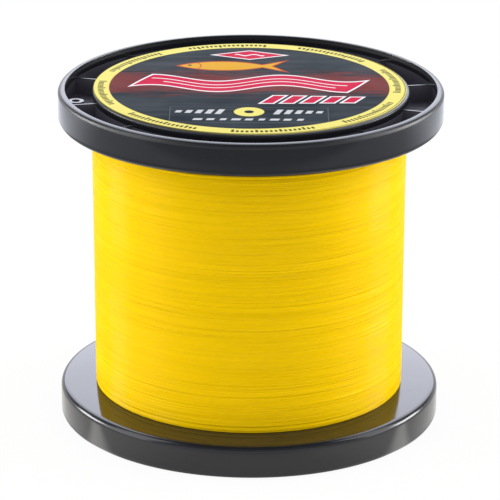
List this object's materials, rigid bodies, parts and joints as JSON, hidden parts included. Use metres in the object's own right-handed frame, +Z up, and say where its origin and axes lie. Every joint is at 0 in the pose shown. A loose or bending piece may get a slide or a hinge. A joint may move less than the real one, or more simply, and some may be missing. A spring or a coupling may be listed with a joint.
{
  "type": "fishing line spool",
  "caption": "Bulk spool of braided fishing line: ribbed moulded flanges, a drum and arbor tube, a round label and a full pack of wound yellow line.",
  "frame": {"origin": "centre of the lower flange's rim, on the surface that the spool stands on", "axes": "+Z up along the spool's axis, from the lower flange to the label; -Y is the front, from which the upper flange's line hole is on the left"},
  "size_m": [0.13, 0.13, 0.1158],
  "materials": {
    "flange_plastic": "glossy injection-moulded black polystyrene",
    "drum_plastic": "black moulded plastic",
    "label": "printed and laminated self-adhesive label",
    "tape": "adhesive tape",
    "line": "glossy braided polyethylene fibre"
  },
  "bodies": {
    "root": {"upper_flange": "flange_plastic", "lower_flange": "flange_plastic", "barrel": "drum_plastic", "arbor_tube": "drum_plastic", "label": "label", "start_tape": "tape", "line_core": "line", "line_winding": "line"}
  },
  "joints": []
}
